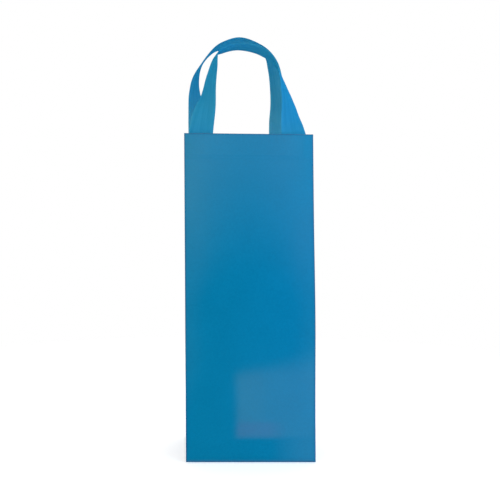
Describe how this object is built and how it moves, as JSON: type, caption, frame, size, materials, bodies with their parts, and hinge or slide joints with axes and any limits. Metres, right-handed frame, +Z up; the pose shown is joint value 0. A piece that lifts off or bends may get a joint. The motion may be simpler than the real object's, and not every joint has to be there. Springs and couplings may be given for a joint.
{
  "type": "bottle carrier bag",
  "caption": "Tall gusseted bottle bag of gloss-laminated paper, standing open on a block bottom, with a base card and flat tape carrying loops glued inside its hem.",
  "frame": {"origin": "centre of the underside, on the surface that the bag stands on", "axes": "+Z up to the handles, -Y out of the front panel, +X to the right of the front view"},
  "size_m": [0.13, 0.085, 0.4411],
  "materials": {
    "laminated_paper": "blue, gloss film outside, plain white inside",
    "handle_tape": "blue flat tape, matt",
    "grey_board": "grey board, matt"
  },
  "bodies": {
    "root": {"bag_body": "laminated_paper", "base_card": "grey_board", "front_handle": "handle_tape", "rear_handle": "handle_tape"}
  },
  "joints": []
}
